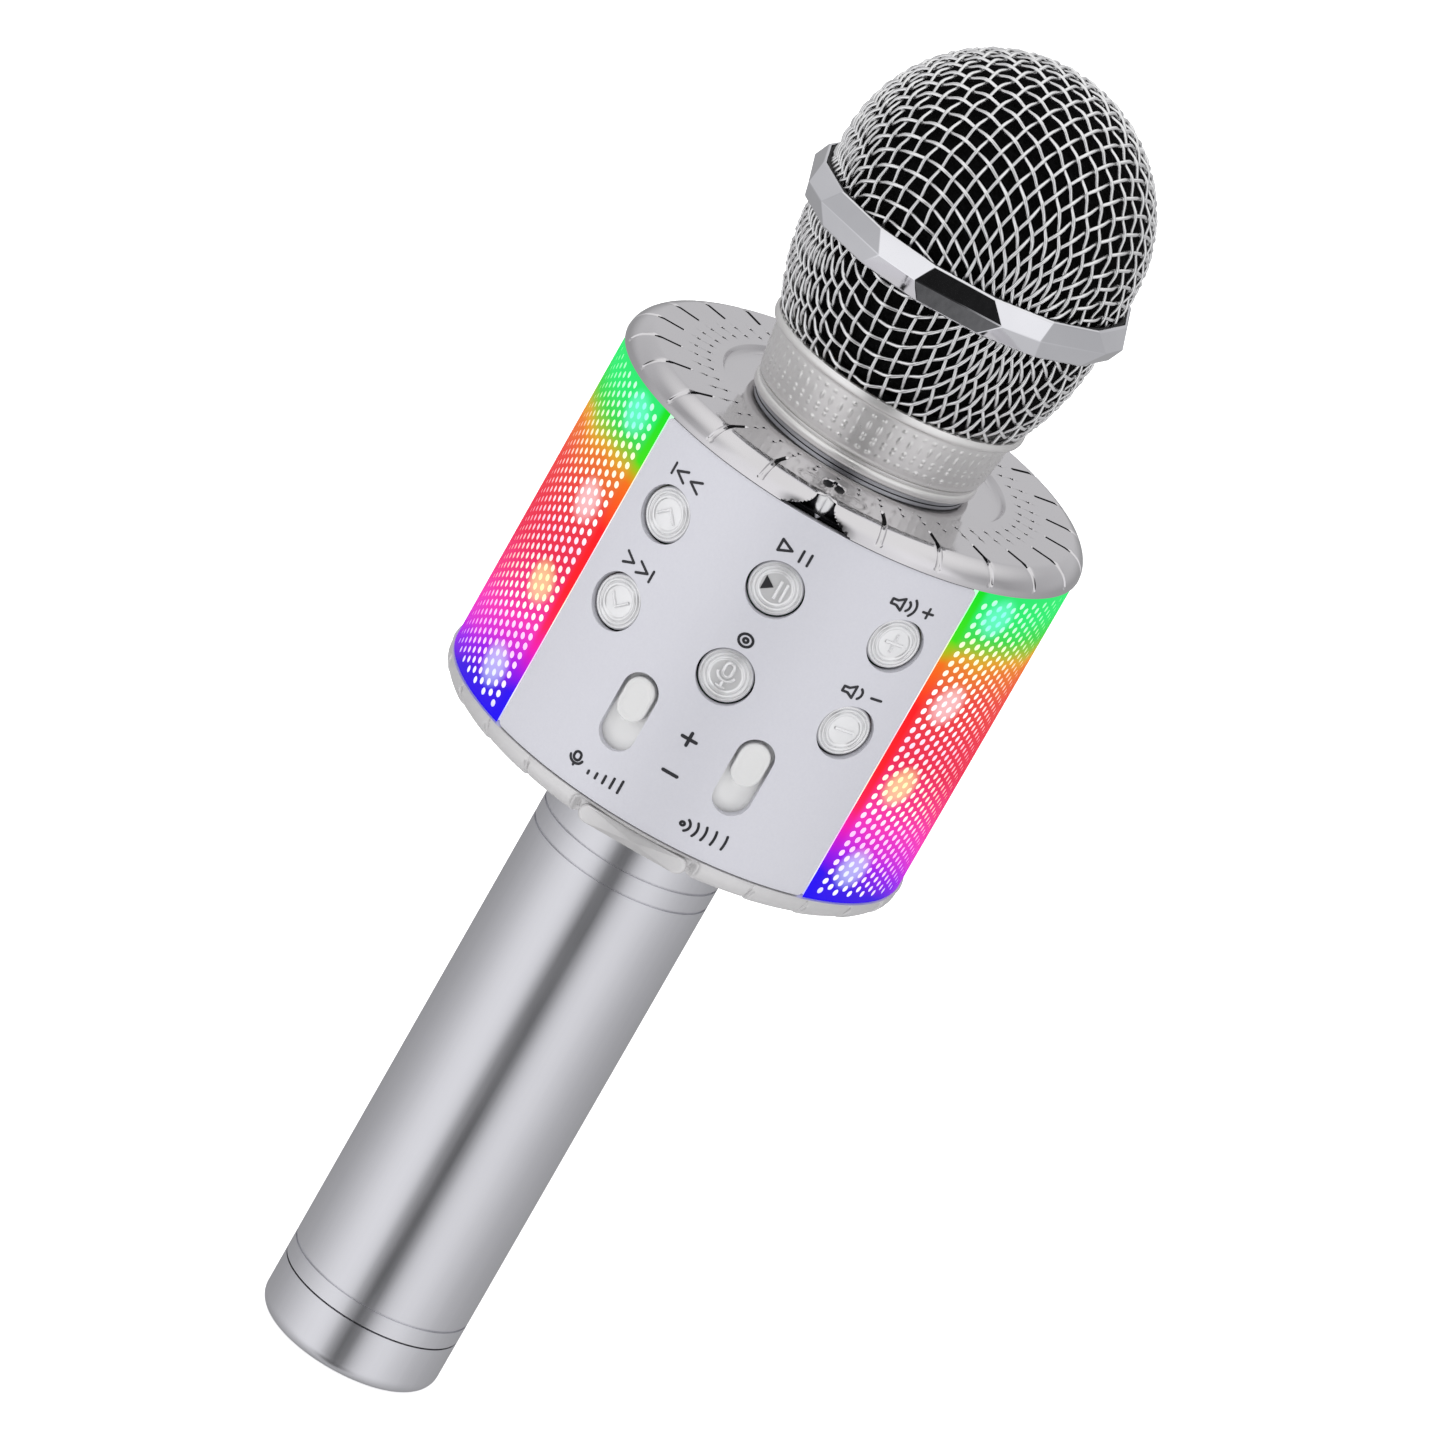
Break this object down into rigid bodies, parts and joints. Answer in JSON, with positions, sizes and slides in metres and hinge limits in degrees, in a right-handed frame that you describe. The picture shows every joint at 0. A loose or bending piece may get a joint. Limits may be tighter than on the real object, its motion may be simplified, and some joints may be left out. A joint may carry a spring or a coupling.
{
  "type": "toy microphone",
  "caption": "Cordless karaoke microphone: metal handle, drum-shaped speaker barrel with push buttons and sliders, lit side grilles and an unscrewing wire mesh head.",
  "frame": {"origin": "centre of the handle's flat end", "axes": "+Z along the handle up to the mesh head, the control panel faces -Y"},
  "size_m": [0.0818, 0.0819, 0.245],
  "materials": {
    "satin_aluminium": "satin",
    "plated_plastic": "chrome plated",
    "chrome": "polished",
    "mesh_wire": "woven wire, plated",
    "panel_silver": "satin silver paint",
    "speaker_grille": "perforated, lit from behind",
    "diffuser_white": "milky",
    "button_silver": "satin plated",
    "knob_white": "satin",
    "black_plastic": "fine texture",
    "speaker_cone": "pressed paper",
    "magnet_iron": "plated",
    "circuit_board": "solder mask",
    "steel": "plated",
    "battery_wrap": "shrink wrapped",
    "lead_red": "insulated wire",
    "black_rubber": "matt",
    "capsule_brass": "plated",
    "foam_black": "open-cell foam"
  },
  "bodies": {
    "barrel": {"handle_tube": "satin_aluminium", "handle_end_cap": "satin_aluminium", "bottom_cover": "plated_plastic", "top_cover": "plated_plastic", "bottom_lip": "plated_plastic", "top_ornament": "plated_plastic", "control_panel": "panel_silver", "rear_panel": "panel_silver", "left_grille": "speaker_grille", "right_grille": "speaker_grille", "left_light_diffuser": "diffuser_white", "right_light_diffuser": "diffuser_white", "barrel_frame": "black_plastic", "battery_holder": "black_plastic", "handle_bush": "black_plastic", "left_speaker_frame": "black_plastic", "right_speaker_frame": "black_plastic", "neck_tube": "black_plastic", "tact_switches": "black_plastic", "voice_slide_pot": "black_plastic", "echo_slide_pot": "black_plastic", "audio_jack": "black_plastic", "power_switch_body": "black_plastic", "left_speaker_cone": "speaker_cone", "right_speaker_cone": "speaker_cone", "left_speaker_magnet": "magnet_iron", "right_speaker_magnet": "magnet_iron", "main_board": "circuit_board", "left_key_board": "circuit_board", "right_key_board": "circuit_board", "port_board": "circuit_board", "left_led_strips": "circuit_board", "right_led_strips": "circuit_board", "handle_screws": "steel", "neck_screws": "steel", "rear_panel_screws": "steel", "battery_spring": "steel", "charge_port": "steel", "card_slot": "steel", "battery_cell": "battery_wrap", "leads": "lead_red", "capsule_holder": "black_rubber", "capsule": "capsule_brass"},
    "washer": {"slip_washer": "steel"},
    "head": {"head_collar": "chrome", "lower_grille": "mesh_wire", "grille_ring": "chrome", "upper_grille": "mesh_wire", "foam_windscreen": "foam_black"},
    "button_previous_body": {"button_previous": "button_silver"},
    "button_play_body": {"button_play": "button_silver"},
    "button_volume_up_body": {"button_volume_up": "button_silver"},
    "button_next_body": {"button_next": "button_silver"},
    "button_record_body": {"button_record": "button_silver"},
    "button_volume_down_body": {"button_volume_down": "button_silver"},
    "voice_slider_knob_body": {"voice_slider_knob": "knob_white"},
    "echo_slider_knob_body": {"echo_slider_knob": "knob_white"},
    "power_switch_knob_body": {"power_switch_knob": "knob_white"}
  },
  "joints": [
    {"name": "head_lift", "type": "slide", "parent": "barrel", "child": "washer", "axis": [0, 0, 1], "range_m": [0, 0.00451]},
    {"name": "head_turn", "type": "hinge", "parent": "washer", "child": "head", "pos_m": [0, 0, 0.19], "axis": [0, 0, 1], "range_deg": [0, 1080]},
    {"name": "button_previous_press", "type": "slide", "parent": "barrel", "child": "button_previous_body", "axis": [0.5105, 0.8599, 0], "range_m": [0, 0.0006], "stiffness_N_per_m": 400, "springref_m": -0.0015},
    {"name": "button_next_press", "type": "slide", "parent": "barrel", "child": "button_next_body", "axis": [0.5105, 0.8599, 0], "range_m": [0, 0.0006], "stiffness_N_per_m": 400, "springref_m": -0.0015},
    {"name": "button_play_press", "type": "slide", "parent": "barrel", "child": "button_play_body", "axis": [0, 1, 0], "range_m": [0, 0.0006], "stiffness_N_per_m": 400, "springref_m": -0.0015},
    {"name": "button_record_press", "type": "slide", "parent": "barrel", "child": "button_record_body", "axis": [0, 1, 0], "range_m": [0, 0.0006], "stiffness_N_per_m": 400, "springref_m": -0.0015},
    {"name": "button_volume_up_press", "type": "slide", "parent": "barrel", "child": "button_volume_up_body", "axis": [-0.5105, 0.8599, 0], "range_m": [0, 0.0006], "stiffness_N_per_m": 400, "springref_m": -0.0015},
    {"name": "button_volume_down_press", "type": "slide", "parent": "barrel", "child": "button_volume_down_body", "axis": [-0.5105, 0.8599, 0], "range_m": [0, 0.0006], "stiffness_N_per_m": 400, "springref_m": -0.0015},
    {"name": "voice_slider", "type": "slide", "parent": "barrel", "child": "voice_slider_knob_body", "axis": [0, 0, -1], "range_m": [0, 0.0051]},
    {"name": "echo_slider", "type": "slide", "parent": "barrel", "child": "echo_slider_knob_body", "axis": [0, 0, -1], "range_m": [0, 0.0051]},
    {"name": "power_switch", "type": "slide", "parent": "barrel", "child": "power_switch_knob_body", "axis": [-1, 0, 0], "range_m": [0, 0.003]}
  ],
  "couplings": [
    {"joint": "head_lift", "follows": "head_turn", "m_per_rad": 0.00023873}
  ]
}
